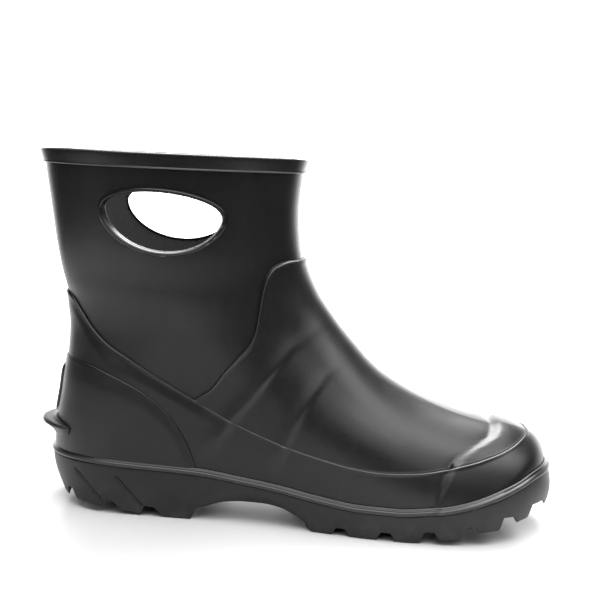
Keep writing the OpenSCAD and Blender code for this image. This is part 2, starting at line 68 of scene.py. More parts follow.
BAND_HEIGHT = 7.0  # of the binding round the rim
CAP_LIFT = 1.4  # thickness of the toe cap, by which it lifts the sheets over it
CAP_EDGE_AHEAD = 9.0  # how far ahead of its ridge the toe cap itself starts
RIB_LIFT = 1.05
RIB_REAR, RIB_FRONT = 5.2, 1.7  # reach of a rib's rear and front flank
MIN_SPAN = 0.006  # least height of a sheet, as a share of the boot's
MIN_LENGTH = 2.6  # the same in millimetres, room for the rounded edge

# Rear and front point of each level from the sole to the rim, x and z.
REAR = np.array([[-131, 22.5], [-131.8, 35], [-131, 48.5], [-129.4, 62], [-128.4, 75.5], [-127.8, 89],
                 [-128, 102], [-130.4, 114], [-134.4, 126], [-138, 139], [-140.9, 153],
                 [-143.6, 168], [-146.3, 182], [-148.6, 196.4]])
FRONT = np.array([[143.5, 24.2], [143.9, 35], [139.9, 47.4], [126.2, 55.1], [107, 58.8], [86, 63.9],
                  [66, 71.3], [48, 81.6], [33, 95.2], [20, 109.6], [8.6, 125], [0.2, 144],
                  [-3.6, 170], [-2.2, 199.6]])
STEPS = len(REAR) - 1
# Where both profiles are carried on to, below the sole and above the rim.
REAR_BELOW, REAR_ABOVE = (-129.8, -20), (-154, 240)
FRONT_BELOW, FRONT_ABOVE = (143.9, -20), (-1, 240)


def smooth_table(*pairs):
    """A smooth curve through (position, value) pairs, level beyond its ends."""
    x, y = np.array(pairs, float).T
    gap = np.diff(x)
    slope = np.diff(y) / gap
    tangent = np.zeros_like(y)
    tangent[0], tangent[-1] = slope[0], slope[-1]
    # a weighted harmonic mean, so that the curve never overshoots its points
    for k in np.flatnonzero(slope[:-1] * slope[1:] > 0):
        before, after = gap[k + 1] * 2 + gap[k], gap[k + 1] + 2 * gap[k]
        tangent[k + 1] = (before + after) / (before / slope[k] + after / slope[k + 1])

    def read(q):
        q = np.clip(np.asarray(q, float), x[0], x[-1])
        i = np.clip(np.searchsorted(x, q, side="right") - 1, 0, len(x) - 2)
        h = gap[i]
        t = (q - x[i]) / h
        rise = (3 - 2 * t) * t * t
        return (y[i] * (1 - rise) + y[i + 1] * rise
                + h * t * (1 - t) * ((1 - t) * tangent[i] - t * tangent[i + 1]))

    return read


# Half-widths: the foot's outer and inner side by x, the leg by height.
FOOT_OUTER = smooth_table((-150, 33), (-100, 36), (-50, 36.2), (-20, 38), (0, 40.4), (20, 43.9),
                          (45, 48.6), (65, 50.6), (85, 51), (120, 47), (150, 42))
FOOT_INNER = smooth_table((-150, 33), (-100, 35), (-50, 33.2), (-20, 34.4), (0, 36.4), (20, 39.8),
                          (45, 44.8), (65, 47.6), (85, 48.5), (120, 46), (150, 42))
LEG = smooth_table((0, 38), (60, 38), (100, 40), (125, 43), (150, 47.8), (170, 50), (205, 51.6),
                   (240, 51.6))
ANKLE_LOW, ANKLE_SPAN = 45, 80  # where the foot's width goes over into the leg's
# How far the roundings of the front and the rear reach in, by height.
ROUND_FRONT = smooth_table((0, 46), (50, 48), (75, 55), (110, 72), (145, 84), (230, 88))
ROUND_REAR = smooth_table((0, 41), (60, 43), (100, 62), (145, 84), (230, 88))
ROUND_POWER = 2.4  # 2 would make them ellipses
# The toes' swing to the inner side: how much, where it starts and over what length it grows.
SWING, SWING_START, SWING_LENGTH = 8, 40, 105

# Heights by x of the lasted bottom, the welt's top, the top edges of galosh and counter.
FEATHER = smooth_table((-140, 22.5), (-131, 22.5), (-110, 24), (-87, 23.4), (-50, 21.8),
                       (-26, 19.4), (-3, 15.7), (18, 11.8), (42, 10.1), (60, 10.5), (77, 12.4),
                       (95, 15.6), (113, 19.4), (126, 22), (138, 23.8), (143.5, 24.2), (152, 24.6))
WELT = smooth_table((-140, 29), (-131, 29.6), (-110, 30.4), (-87, 29.6), (-50, 28.2), (-26, 25.6),
                    (-3, 22.8), (18, 19.6), (42, 17.4), (60, 17.4), (77, 18.9), (92.5, 21.8),
                    (104, 25), (113.4, 28.4), (124, 33), (133.4, 36.6), (143.5, 37.8), (152, 38))
GALOSH = smooth_table((-140, 119), (-131, 118.6), (-126.7, 117), (-119.8, 109.7), (-112, 101),
                      (-102.7, 93.6), (-89.6, 86.4), (-78, 79.8), (-67, 73.8), (-56, 68),
                      (-44.5, 62.2), (-33, 57), (-22, 52.4), (-10.6, 48.4), (0.6, 45), (11.7, 42.3),
                      (22.8, 40.1), (34.3, 38.2), (52, 36.9), (70, 37.4), (86.5, 39.6),
                      (98.7, 41.6), (107.2, 43.4), (115.9, 45.6), (123.1, 48.2), (128.4, 50.4),
                      (134.6, 52.6), (150, 53.6))
COUNTER = smooth_table((-140, 81.5), (-131, 81.5), (-112.7, 80.6), (-100.4, 77.2), (-89, 72.6),
                       (-80, 67.8), (-72, 62), (-65, 55.2), (-59.2, 47.7), (-54.3, 39.1),
                       (-51, 31.4), (-48, 20))
# Height by x of the vamp's free edge.
VAMP_EDGE = smooth_table((-60, 60), (-53.8, 66.7), (-45, 73.3), (-38.2, 83.3), (-31.3, 92),
                         (-25, 100.3), (-22.9, 107), (-22, 116), (-20.8, 128.6), (-19.2, 136),
                         (-15, 141.8), (-7, 144.6), (10, 145))
# x by height of the toe cap's edge.
CAP_FRONT = smooth_table((10, 80), (19.7, 82.2), (29.2, 84.6), (38, 88), (43.1, 92.2),
                         (48.6, 102.8), (52.4, 112.4), (56, 115.2), (62, 116.4), (70, 118))
# Heights by x of the sole's underside and of the floor of its hollow.
TREAD = smooth_table((-142, 9), (-131, 7), (-122, 4.8), (-111.3, 4), (-101.7, 2.6), (-89.1, 2.2),
                     (-78.6, 0.8), (-64.8, 0), (-51.6, 0), (-50.6, 4.4), (-43.8, 7.2), (-35.6, 9.8),
                     (-24, 11.3), (-12, 11.4), (-3, 10.3), (4.5, 7.5), (10.2, 4.5), (13.2, 0.8),
                     (16, 0), (62, 0), (75.5, 1.3), (85.7, 2.8), (97.6, 4.2), (106.8, 7),
                     (118.2, 8.3), (126.3, 10.8), (137.5, 13.2), (143, 14.4), (151, 15.2))
HOLLOW = smooth_table((-200, 10.2), (-116, 10.2), (-100, 8.4), (-85, 7.3), (-52, 7.3), (-44, 16),
                      (-30, 16), (0, 11.6), (14, 7.4), (42, 6.6), (60, 7), (77, 9), (95, 12.1),
                      (113, 15.9), (124, 18.2), (134, 21), (150, 23))
RIM_REAR, RIM_FRONT = (-160, 196.15), (10, 199.87)

# The flex ribs on the ankle, x and z from the top down.
RIBS = [np.array([[19, 114], [7.2, 104.9], [-3.1, 97.2], [-12, 85.2], [-22.9, 68.8], [-32.1, 56.8],
                  [-38.1, 46.1], [-42.5, 36.7]]),
        np.array([[34, 98], [24.8, 90.2], [16.8, 82.8], [11.4, 74.8], [6.1, 65.2], [3, 57.6], [0.4, 51.2],
                  [-2.1, 43.6], [-5.5, 31]])]

# Hand openings: middle, slope, half-length, height above and depth below the middle.
GRIP_X, GRIP_Z, GRIP_TILT = -75.4, 167.2, -0.033
GRIP_HALF, GRIP_RISE, GRIP_DROP = 32.3, 11.3, 20.3
GRIP_CUT = 1.2  # the sheets are cut this far outside the bead's inner outline
GRIP_BOX = (45, 34)  # half-sizes of the box in which points are tested against a cut
SNAP = 0.62  # points this near a cut are moved onto it
KEEP = 0.4  # a face goes if its corners lie further inside than this in sum


def ease(t):
    """Smooth step from 0 to 1."""
    t = np.clip(t, 0, 1)
    return t * t * (3 - 2 * t)


def mix(a, b, t):
    """The value at share t of the way from a to b."""
    return a + (b - a) * t


def spline(points, u):
    """Points at u (0 to the last index) on the smooth curve through points."""
    u = np.asarray(u, float)
    padded = np.vstack([2 * points[0] - points[1], points, 2 * points[-1] - points[-2]])
    i = np.clip(np.floor(u).astype(int), 0, len(points) - 2)
    t = (u - i)[..., None]
    a, b, c, d = (padded[i + k] for k in range(4))
    return 0.5 * (2 * b + (c - a) * t + (2 * a - 5 * b + 4 * c - d) * t**2
                  + (3 * b - a - 3 * c + d) * t**3)


def to_line(x, z, line):
    """Signed distance from each x, z to the nearest piece of line, positive to its left."""
    p = np.stack([np.ravel(x), np.ravel(z)], -1)
    best = np.full(len(p), 1e9)
    signed = np.zeros(len(p))
    for a, b in zip(line[:-1], line[1:]):
        d = b - a
        t = np.clip(((p - a) @ d) / (d @ d), 0, 1)
        off = p - a - t[:, None] * d
        dist = np.hypot(off[:, 0], off[:, 1])
        near = dist < best
        best[near] = dist[near]
        turn = d[0] * (p[:, 1] - a[1]) - d[1] * (p[:, 0] - a[0])
        signed[near] = (np.sign(turn) * dist)[near]
    return signed.reshape(np.shape(x))


class Field:
    """Distance in from the front profile on a 1 mm grid, read back smoothly."""

    low = np.array([-165.0, -12.0])
    size = (330, 232)

    def __init__(self):
        u = np.linspace(0, STEPS, STEPS * 12 + 1)
        profile = np.vstack([FRONT_BELOW, spline(FRONT, u), FRONT_ABOVE])
        x = self.low[0] + np.arange(self.size[0])
        z = self.low[1] + np.arange(self.size[1])
        self.values = to_line(*np.meshgrid(x, z, indexing="ij"), profile)

    @staticmethod
    def weights(t):
        """Weights of the four neighbours of a point at share t of its grid step."""
        return (0.5 * (-t + 2 * t**2 - t**3), 0.5 * (2 - 5 * t**2 + 3 * t**3),
                0.5 * (t + 4 * t**2 - 3 * t**3), 0.5 * (-(t**2) + t**3))

    def __call__(self, x, z):
        gx, gz = np.broadcast_arrays(x - self.low[0], z - self.low[1])
        i = np.clip(np.floor(gx).astype(int), 1, self.size[0] - 3)
        k = np.clip(np.floor(gz).astype(int), 1, self.size[1] - 3)
        wx, wz = self.weights(gx - i), self.weights(gz - k)
        return sum(wx[m] * wz[n] * self.values[i + m - 1, k + n - 1]
                   for m in range(4) for n in range(4))


front_depth = Field()
rear_points = [REAR_BELOW, *spline(REAR, np.linspace(0, STEPS, STEPS * 6 + 1)), REAR_ABOVE]
rear_x = smooth_table(*[(z, x) for x, z in rear_points])


def half_width(x, z, side):
    """Half-width at x, z before the front and rear are rounded."""
    foot = np.where(side < 0, FOOT_OUTER(x), FOOT_INNER(x))
    return mix(foot, LEG(z), ease((z - ANKLE_LOW) / ANKLE_SPAN))


def rounding(t):
    """Share of the squared width at share t of the way in from the front or rear."""
    return np.where(t < 1, 1 - np.maximum(1 - t, 0) ** ROUND_POWER, 1.0)


def width2(x, z, side):
    """Square of the half-width of the boot at x, z; below zero outside its outline."""
    f = rounding(front_depth(x, z) / ROUND_FRONT(z))
    r = rounding((x - rear_x(z)) / ROUND_REAR(z))
    return half_width(x, z, side) ** 2 * np.where((f < 0) & (r < 0), -f * r, f * r)


def middle(x):
    """y of the boot's middle line."""
    t = np.maximum(0, x - SWING_START) / SWING_LENGTH
    return SWING * t * t


def skin(x, z, side):
    """Point of the surface at x, z and its outward normal."""
    x, z, side = np.broadcast_arrays(np.asarray(x, float), np.asarray(z, float), side)
    h = 0.4  # step for the slopes
    y = side * np.sqrt(np.maximum(width2(x, z, side), 0))
    slope_x = (width2(x + h, z, side) - width2(x - h, z, side)) / (2 * h)
    slope_z = (width2(x, z + h, side) - width2(x, z - h, side)) / (2 * h)
    swing = (middle(x + h) - middle(x - h)) / (2 * h)
    n = np.stack([-2 * y * swing - slope_x, 2 * y, -slope_z], -1)
    n /= np.linalg.norm(n, axis=-1, keepdims=True)
    return np.stack([x, middle(x) + y, z], -1), n


def place(v, a):
    """x, z of level v (0 at the sole, 1 at the rim) at column angle a (0 at the toe, pi at the heel)."""
    v, a = np.broadcast_arrays(v, a)
    p = (1 + np.cos(a)) / 2
    q = mix(spline(REAR, v * STEPS), spline(FRONT, v * STEPS), p[..., None])
    sag = np.maximum(0, 1 - 2 * v) ** 2
    x = q[..., 0]
    return x, q[..., 1] + sag * (FEATHER(x) - mix(REAR[0, 1], FRONT[0, 1], p))


def level(line, a, shift=0.0):
    """The level at which each column meets a height line."""
    low, high = np.zeros(np.shape(a)), np.ones(np.shape(a))
    for _ in range(22):  # halvings
        m = (low + high) / 2
        x, z = place(m, a)
        below = z < line(x) + shift
        low, high = np.where(below, m, low), np.where(below, high, m)
    return (low + high) / 2


def rim_line(x):
    """Height of the rim at x."""
    t = (x - RIM_REAR[0]) / (RIM_FRONT[0] - RIM_REAR[0])
    return mix(RIM_REAR[1], RIM_FRONT[1], t)


def side_of(a):
    """-1 for columns on the outer side, 1 for the inner side."""
    return np.where(np.sin(a) > 1e-9, -1, 1)


def cap_rise(x, z):
    """Rise of the outer sheets over the toe cap's edge, with a shallow valley before it."""
    s = x - CAP_FRONT(z)
    valley = 0.25 * np.exp(-(((s + 2.9) / 2) ** 2))
    return CAP_LIFT * ease((s + 2.1) / 4.2) - valley


def rib_rise(x, z):
    """Rise of the flex ribs, which die out towards the instep and at their lower ends."""
    rise = np.zeros(np.shape(x))
    for line in RIBS:
        d = to_line(x, z, line)
        top, foot = line[0, 1], line[-1, 1]
        fade = ease((z - foot + 3) / 15) * (0.08 + 0.92 * ease((top - 4 - z) / 32))
        rear_flank = np.exp(-((d / RIB_REAR) ** 2))
        front_flank = np.exp(-((d / RIB_FRONT) ** 2))
        rise = rise + fade * np.where(d < 0, rear_flank, front_flank)
    return RIB_LIFT * rise


# ---------- meshes ----------


def make_mesh(name, points, faces, smooth_angle=None):
    """A smooth-shaded closed mesh from points in millimetres, its faces turned outwards."""
    mesh = bpy.data.meshes.new(name)
    mesh.from_pydata(((points + PLACE) * MM).tolist(), [], faces)
    bm = bmesh.new()
    bm.from_mesh(mesh)
    bmesh.ops.recalc_face_normals(bm, faces=bm.faces)
    bm.to_mesh(mesh)
    bm.free()
    mesh.polygons.foreach_set("use_smooth", [True] * len(mesh.polygons))
    if smooth_angle is not None:
        mesh.set_sharp_from_angle(angle=math.radians(smooth_angle))
    mesh.update()
    piece = bpy.data.objects.new(name, mesh)
    bpy.context.scene.collection.objects.link(piece)
    return piece


def loft(name, sections, wrap, smooth_angle=None):
    """A closed solid through sections[column][point]; wrap joins the last column to the first."""
    count, size = sections.shape[:2]
    j = np.arange(count if wrap else count - 1)[:, None]
    i = np.arange(size)[None, :]
    m, k = (j + 1) % count, (i + 1) % size
    faces = np.stack([j * size + i, j * size + k, m * size + k, m * size + i], -1).reshape(-1, 4).tolist()
    if not wrap:
        faces.append(list(range(size))[::-1])
        faces.append([(count - 1) * size + i for i in range(size)])
    return make_mesh(name, sections.reshape(-1, 3), faces, smooth_angle)


def ring_columns(n):
    """Angles of n columns all the way round."""
    return np.arange(n) * 2 * np.pi / n


def arc_columns(centre, reach, n):
    """Angles of n columns from centre - reach to centre + reach, in degrees."""
    return math.radians(centre) + np.linspace(-math.radians(reach), math.radians(reach), n)


EDGE_STEPS = np.array([1.0, 0.72, 0.48, 0.28, 0.13, 0.04, 0.0])  # rows over a rounded edge
SKIVE_REACH = 12.0  # length over which a sheet thins towards its edge
LIP_FROM_TOP, LIP_WIDTH = 0.9, 0.6  # the bead along a sheet's top edge


def sheet(name, a, low, high, outer, inner, rows, wrap, top_edge=1.0, relief=False, lip=0.0,
          skive=None):
    """A sheet of rubber between levels low and high, its top edge rounded over top_edge mm.

    With relief it rises over the toe cap and carries the flex ribs. lip is the height of a
    narrow bead along the top edge, and skive(x) is the share of its thickness that the
    sheet loses towards that edge.
    """
    probe = np.linspace(0, 1, 12)[:, None]
    x, z = place(mix(low, high, probe), a)
    length = np.maximum(np.hypot(np.diff(x, axis=0), np.diff(z, axis=0)).sum(0), MIN_LENGTH)
    top = top_edge / length
    share = np.vstack([mix(0, 1 - top, np.linspace(0, 1, rows)[:, None]), 1 - top * EDGE_STEPS[1:, None]])
    x, z = place(mix(low, high, share), a)
    point, normal = skin(x, z, side_of(a))
    lift = cap_rise(x, z) if relief else np.zeros(x.shape)
    from_top = (1 - share) * length
    t = np.sqrt(1 - np.clip(1 - from_top / top_edge, 0, 1) ** 2)
    if skive is not None:
        t = t * (1 - skive(x) * (1 - ease(from_top / SKIVE_REACH)))
    outside = lift + inner + (outer - inner) * t
    if relief:
        outside = outside + rib_rise(x, z)
    outside = outside + lip * np.exp(-(((from_top - LIP_FROM_TOP) / LIP_WIDTH) ** 2)) * t
    over = point + normal * outside[..., None]
    back = slice(None, None, -max(1, rows // 12))  # the hidden face needs fewer rows
    under = (point + normal * (inner + lift)[..., None])[back]
    return loft(name, np.concatenate([over, under[1:]]).transpose(1, 0, 2), wrap)


def grip_curve(f):
    """x, z on the outline of a hand opening at angle f."""
    s = np.sin(f)
    dx = GRIP_HALF * np.cos(f)
    drop = GRIP_DROP * np.maximum(-s, 0) ** 1.15
    dz = np.where(s > 0, GRIP_RISE * s, -drop)
    return np.stack([GRIP_X + dx, GRIP_Z + GRIP_TILT * dx + dz], -1)


def grip_outline(f, r):
    """x, z on the outline of a hand opening at angle f, pushed out by r."""
    t = grip_curve(f + 0.02) - grip_curve(f - 0.02)
    n = np.stack([t[..., 1], -t[..., 0]], -1)
    return grip_curve(f) + r * n / np.linalg.norm(n, axis=-1, keepdims=True)


def snap_to_grip(x, z):
    """Moves the points near a hand opening's cut onto it; returns how far each lay inside it."""
    edge = grip_outline(np.linspace(0, 2 * np.pi, 241), GRIP_CUT)
    near = (np.abs(x - GRIP_X) < GRIP_BOX[0]) & (np.abs(z - GRIP_Z) < GRIP_BOX[1])
    inside = np.full(x.shape, -1.0)
    inside[near] = to_line(x[near], z[near], edge)
    snap = np.abs(inside) < SNAP
    px, pz, d = x[snap], z[snap], inside[snap]
    h = 0.05  # step for the slopes
    gx = (to_line(px + h, pz, edge) - to_line(px - h, pz, edge)) / (2 * h)
    gz = (to_line(px, pz + h, edge) - to_line(px, pz - h, edge)) / (2 * h)
    x[snap], z[snap] = px - gx * d, pz - gz * d
    return inside


def arc_sheet(name, arc, low_line, shift, high_line, outer, inner, rows, **edge):
    """A sheet over some columns, from shift above low_line up to high_line."""
    low = level(low_line, arc, shift)
    high = np.maximum(low + MIN_SPAN, level(high_line, arc))
    return sheet(name, arc, low, high, outer, inner, rows, False, **edge)


def cap_edge(x):
    """Height of the toe cap's own edge at x, ahead of the ridge in the sheets over it."""
    heights = np.linspace(10, 70, 61)
    return np.interp(x - CAP_EDGE_AHEAD, CAP_FRONT(heights), heights)


def tube(name, outer, inner, start, columns, rows):
    """A tube of sheet from the sole to the rim with both hand openings cut out of it."""
    a = ring_columns(columns)
    low = level(FEATHER, a, start) if start else np.zeros(columns)
    x, z = place(mix(low, 1.0, np.linspace(0, 1, rows)[:, None]), a)
    inside = snap_to_grip(x, z)
    point, normal = skin(x, z, side_of(a))
    points = np.concatenate([(point + normal * t).reshape(-1, 3) for t in (outer, inner)])
    corner_sum = inside[:-1] + inside[1:]
    keep = corner_sum + np.roll(corner_sum, -1, axis=1) <= KEEP
    n = rows * columns
    faces = []
    for r in range(rows - 1):
        for c in range(columns):
            if not keep[r, c]:
                continue
            m = (c + 1) % columns
            q = [r * columns + c, r * columns + m, (r + 1) * columns + m, (r + 1) * columns + c]
            faces.append(q)
            faces.append([i + n for i in q[::-1]])
            open_sides = ((r == 0 or not keep[r - 1, c], 0, 1), (not keep[r, m], 1, 2),
                          (r == rows - 2 or not keep[r + 1, c], 2, 3), (not keep[r, c - 1], 3, 0))
            for is_open, i, k in open_sides:
                if is_open:
                    faces.append([q[k], q[i], q[i] + n, q[k] + n])
    used = np.unique([i for f in faces for i in f])
    renumber = np.zeros(len(points), int)
    renumber[used] = np.arange(len(used))
    return make_mesh(name, points[used], [[int(renumber[i]) for i in f] for f in faces], 50)


def bead_ring(name, side):
    """The rolled bead round one hand opening."""
    # distance out from the opening's edge and offset from the surface
    corners = np.array([[0.0, -1.5], [0.0, 0.5], [0.5, 1.45], [1.2, 1.6], [1.95, 1.2], [2.3, 0.4],
                        [1.6, 0.3], [1.0, -0.2], [1.0, -2.9], [0.8, -3.4], [0.3, -3.4],
                        [0.0, -2.9], [0.0, -1.5]])
    profile = spline(corners, np.linspace(0, len(corners) - 1, 61)[:-1])
    sections = []
    for f in ring_columns(200):
        q = grip_outline(np.full(len(profile), f), profile[:, :1])
        point, normal = skin(q[:, 0], q[:, 1], side)
        sections.append(point + normal * profile[:, 1:])
    return loft(name, np.array(sections), True)


def rim_binding(name):
    """The strip folded over the rim."""
    a = ring_columns(360)
    corner = LINING_IN - GAP
    # offset from the surface and height from the rim
    profile = np.array([[GAP, -BAND_HEIGHT], [1.3, -BAND_HEIGHT], [1.75, -6.85], [1.95, -6.5],
                        [1.85, -6.15], [1.5, -5.9], [1.55, -5.6], [1.75, -4.5], [2.15, -2.0],
                        [2.55, 0.2], [2.6, 0.7], [2.45, 1.05], [2.1, 1.25], [0.6, 1.45],
                        [-1.6, 1.45], [-3.2, 1.3], [corner - 0.7, 0.8], [corner - 0.9, 0.0],
                        [corner - 0.85, -3.8], [corner - 0.55, -4.5], [corner, -4.6],
                        [corner, 0.3], [GAP, 0.3]])
    sections = np.zeros((len(a), len(profile), 3))
    for k, (t, dz) in enumerate(profile):
        v = level(rim_line, a, dz) if dz < 0 else np.ones(len(a))
        x, z = place(v, a)
        point, normal = skin(x, z, side_of(a))
        # the rounded top is lower on the inner side
        rise = max(0, dz) * (1 - 0.95 * ease((point[:, 1] + 40) / 50))
        sections[:, k] = point + normal * t + rise[:, None] * np.array([0, 0, 1])
    return loft(name, sections, True, 40)


def flat_direction(normal):
    """The normal laid level."""
    flat = normal * np.array([1, 1, 0])
    return flat / np.linalg.norm(flat, axis=-1, keepdims=True)


def over_cap(x, edge):
    """How far welt and sole stand further out over the toe cap, which starts at edge."""
    return CAP_LIFT * ease((x - edge) / 4.5)


def welt_bead(name):
    """The bead between the wall and the sole."""
    a = ring_columns(720)
    # distance out from the surface and height from the top of the welt
    profile = np.array([[0, -2.9], [4.7, -2.9], [5.15, -2.65], [5.4, -2.1], [5.4, -1.5], [5.15, -0.95],
                        [4.7, -0.6], [4.2, -0.45], [3.8, -0.35], [3.6, 0.05], [3.4, 0.45], [3.1, 0.65],
                        [2.8, 0.7], [2.4, 0.65], [0, 0.65]])
    sections = np.zeros((len(a), len(profile), 3))
    for k, (t, dz) in enumerate(profile):
        x, z = place(level(WELT, a, dz), a)
        point, normal = skin(x, z, side_of(a))
        out = np.maximum(t, GALOSH_OUT + GAP) + over_cap(x, CAP_FRONT(z) - 2)
        sections[:, k] = point + flat_direction(normal) * out[:, None]
    return loft(name, sections, True, 60)


HEEL_X = -130.0  # where the heel's width is read


def rear_skin(y, z):
    """The surface at the back of the heel at width y and height z."""
    side = np.where(y < 0, -1, 1)
    w = np.abs(y) / half_width(HEEL_X, z, side)
    t = 1 - (1 - w * w) ** (1 / ROUND_POWER)
    return skin(rear_x(z) + t * ROUND_REAR(z), z, side)


LEDGE_REACH, LEDGE_HALF, LEDGE_Z = 7.8, 25.0, 43.4


def heel_ledge(name):
    """The kick-off ledge: a thin curved lip across the back of the heel."""
    # share of the reach, height
    corners = np.array([[0, 36.5], [0.28, 38.8], [0.65, 40.9], [0.93, 42.0], [1, 43.1],
                        [0.94, 44.3], [0.7, 44.7], [0.3, 44.8], [0, 45.7]])
    profile = spline(corners, np.linspace(0, len(corners) - 1, 49))
    sections = []
    for share in np.sin(np.linspace(-1, 1, 97) * np.pi / 2):
        left = max(0, 1 - share * share)
        reach = LEDGE_REACH * max(0.03, left) ** 0.75
        flatten = 0.4 + 0.6 * math.sqrt(left)
        z = LEDGE_Z - 0.6 * share * share + (profile[:, 1] - LEDGE_Z) * flatten
        point, normal = rear_skin(np.full(len(z), share * LEDGE_HALF), z)
        sections.append(point + normal * (COUNTER_OUT + GAP)
                        + flat_direction(normal) * (reach * profile[:, :1]))
    return loft(name, np.array(sections), False, 60)


STRIP_HALF, STRIP_LOW, STRIP_HIGH = 7.6, 48.6, 75.0


def heel_strip(name):
    """The short strip up the back of the counter, thin at its edges and thinning to its top."""
    w, s = np.meshgrid(np.linspace(-1, 1, 41), np.linspace(0, 1, 49))
    point, normal = rear_skin(w * STRIP_HALF, mix(STRIP_LOW, STRIP_HIGH, s))
    from_side = (1 - np.abs(w)) * STRIP_HALF
    from_end = np.minimum(s, (1 - s) / 4) * (STRIP_HIGH - STRIP_LOW)
    edge = np.minimum(from_side, from_end)
    rise = np.sqrt(1 - np.clip(1 - edge / 1.6, 0, 1) ** 2)
    over = point + normal * (COUNTER_OUT + GAP + rise + 0.02)[..., None]
    under = (point + normal * (COUNTER_OUT + GAP))[:, ::-1]
    return loft(name, np.concatenate([over, under], 1), False)


OUTLINE_SAMPLES = 6000


def outline(count):
    """Points round the bottom edge of the upper at even spacing, and their outward directions."""
    a = ring_columns(OUTLINE_SAMPLES)
    x, z = place(np.zeros(OUTLINE_SAMPLES), a)
    point, normal = skin(x, z, side_of(a))
    flat = flat_direction(normal)
    step = np.hypot(*np.diff(np.vstack([point, point[:1]])[:, :2], axis=0).T)
    along = np.concatenate([[0], np.cumsum(step)])
    want = np.linspace(0, along[-1], count, endpoint=False)
    i = np.clip(np.searchsorted(along, want), 0, OUTLINE_SAMPLES - 1)
    return point[i, :2], flat[i, :2]


SPINE_REAR, SPINE_FRONT = -92, 104


def spine(x):
    """The middle line that the rings of a slab close onto."""
    cx = np.clip(x, SPINE_REAR, SPINE_FRONT)
    return np.stack([cx, middle(cx)], -1)


CUP_WIDTH = 18  # width over which a slab's top rises to its edge


def slab(name, edge, low, high, rim, cup=0.0):
    """A flat filling inside the outline pushed out by edge, low to high above the lasted bottom.

    Its edge is rounded over rim mm, and its top rises by cup mm towards the edge.
    """
    base, out = outline(420)
    e = base + out * edge
    c = spine(e[:, 0])
    size = np.hypot(*(c - e).T)
    # the rings' distances in from the edge, which count up to inmost at the spine
    inmost = 60
    rounded = rim * (1 - np.cos(np.linspace(0, np.pi / 2, 6)))
    steps = np.concatenate([rounded, np.linspace(rim, inmost, 26)[1:]])
    loops = []
    for side, distances in ((1, steps), (-1, steps[::-1])):
        for d in distances:
            s = d / size if d < rim + 1e-6 else mix(rim / size, 1.0, (d - rim) / (inmost - rim))
            q = e + (c - e) * np.minimum(s, 1)[:, None]
            full = math.sqrt(max(0, 1 - (1 - min(d / rim, 1)) ** 2))
            z = FEATHER(q[:, 0]) + (low + high) / 2 + side * full * (high - low) / 2
            if side > 0:
                z = z + cup * ease(1 - d / CUP_WIDTH) * full
            loops.append(np.column_stack([q, z]))
    return loft(name, np.array(loops).transpose(1, 0, 2), True, 60)


# Grooves from the edge of the tread: place along x where they meet GROOVE_W, height of the
# top, reach of the rear and front slopes, and half the top's width if it isn't GROOVE_HALF.
FORE_GROOVES = ((30.9, 4, 2.2, 3), (56, 4.5, 2.9, 3.4), (79.8, 6.5, 2, 3.3), (102.2, 10.4, 2.4, 2),
                (121.3, 14.9, 1.2, 2.6), (135.8, 19.2, 1.4, 1.8))
HEEL_GROOVES = ((-118.3, 9.8, 0.8, 2, 1.2), (-96.2, 7, 1.6, 5.9), (-73.4, 5.4, 1.6, 6.1))
FORE_SLANT, HEEL_SLANT = 0.2126, -0.1405  # shift along x for each mm across
GROOVE_W = 50  # distance from the middle line
GROOVE_HALF = 2.6
# The lugs along the middle, the cross grooves between them and the groove on each side.
CENTRE_HALF = 13
CENTRE_GROOVES = (-112, -86, 44, 68, 91, 111, 130)
CENTRE_DEPTH = 3.5
# Cuts in the outer wall of the heel: x, z of their upper and lower ends.
SIPES = (((-114.5, 22.3), (-101.2, 7.6)), ((-93.4, 21.1), (-78.8, 6.0)))
SIPE_DEPTH, SIPE_HALF = 1.0, 0.6
# Low bars across the arch.
ARCH_BARS = (-36, -25, -14, -3)
BAR_HEIGHT, BAR_HALF, BAR_REACH = 1.6, 1.6, 32


def groove(d, half, draft):
    """Depth share of a groove at distance d from its middle."""
    return ease((half - np.abs(d)) / draft + 0.5)


def tread_height(x, y):
    """Height of the underside of the sole at x, y."""
    w = np.abs(y - middle(x))
    base = TREAD(x)
    z = base.copy()
    outer = ease((w - CENTRE_HALF) / 1.2)
    for grooves, slant in ((FORE_GROOVES, FORE_SLANT), (HEEL_GROOVES, HEEL_SLANT)):
        for gx, top, rear, front, *own_half in grooves:
            half = own_half[0] if own_half else GROOVE_HALF
            s = x - gx + (w - GROOVE_W) * slant * min(1, half / GROOVE_HALF)
            k = np.clip(np.minimum((s + half + rear) / rear, (half + front - s) / front), 0, 1)
            z = np.maximum(z, base + k * outer * np.maximum(0, top - base))
    for gx in CENTRE_GROOVES:
        z = np.maximum(z, base + CENTRE_DEPTH * groove(x - gx, GROOVE_HALF, 1.5) * (1 - outer))
    # the side grooves run under the forefoot and under the heel
    fore = ease((x - 12) / 2) * ease((137 - x) / 3)
    heel = ease((x + 128) / 2) * ease((-53 - x) / 1.5)
    beside = groove(w - CENTRE_HALF, 1.6, 1.3) * np.maximum(fore, heel)
    z = np.maximum(z, base + CENTRE_DEPTH * beside)
    for bar in ARCH_BARS:
        z = z - BAR_HEIGHT * groove(x - bar, BAR_HALF, 1.2) * ease((BAR_REACH - w) / 2)
    return z


SEAT_DROP = 3.1  # the wall starts this far below the top of the welt
TREAD_EDGE = 0.8  # rounding between the wall and the tread
UNDERCUT_X, UNDERCUT_HALF, UNDERCUT_TOP = -18, 34, 20.5  # where the wall draws in under the arch


